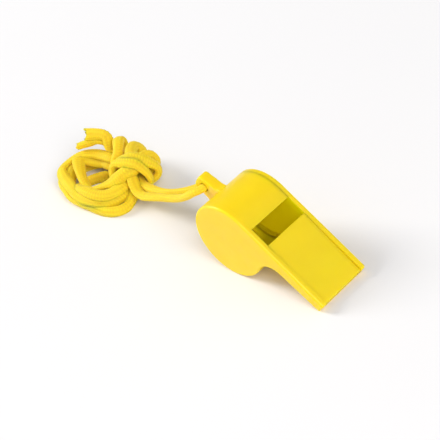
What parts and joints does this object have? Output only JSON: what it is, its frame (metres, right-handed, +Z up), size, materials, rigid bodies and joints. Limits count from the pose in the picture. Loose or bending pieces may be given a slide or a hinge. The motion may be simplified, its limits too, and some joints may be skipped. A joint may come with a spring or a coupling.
{
  "type": "pea whistle with neck cord",
  "caption": "Moulded plastic pea whistle with a round barrel, flat mouthpiece, sound window and cord lug, threaded on a limp knitted neck cord that lies in a small hank.",
  "frame": {"origin": "on the table under the middle of the whistle's own length and width, with the whistle resting on its barrel and the lower edge of its tip", "axes": "+X towards the mouthpiece, +Y to the left across the whistle, +Z up"},
  "size_m": [0.1179, 0.0283, 0.0251],
  "materials": {
    "whistle_plastic": "satin injection-moulded polystyrene, bright yellow, slightly translucent",
    "pea_plastic": "matte yellow moulded ball",
    "knitted_cord": "soft knitted polyester cord, bright yellow"
  },
  "bodies": {
    "whistle": {"body_shell": "whistle_plastic", "side_cover": "whistle_plastic", "windway_plate": "whistle_plastic", "cord_leg_near": "knitted_cord", "cord_leg_far": "knitted_cord", "cord_coil": "knitted_cord", "cord_wrap": "knitted_cord", "cord_tail_wide": "knitted_cord", "cord_tail_thin": "knitted_cord"},
    "pea": {"pea": "pea_plastic"}
  },
  "joints": [
    {"name": "pea_orbit", "type": "hinge", "parent": "whistle", "child": "pea", "pos_m": [-0.00814, 0, 0.0125], "axis": [0, 1, 0], "continuous": true}
  ]
}
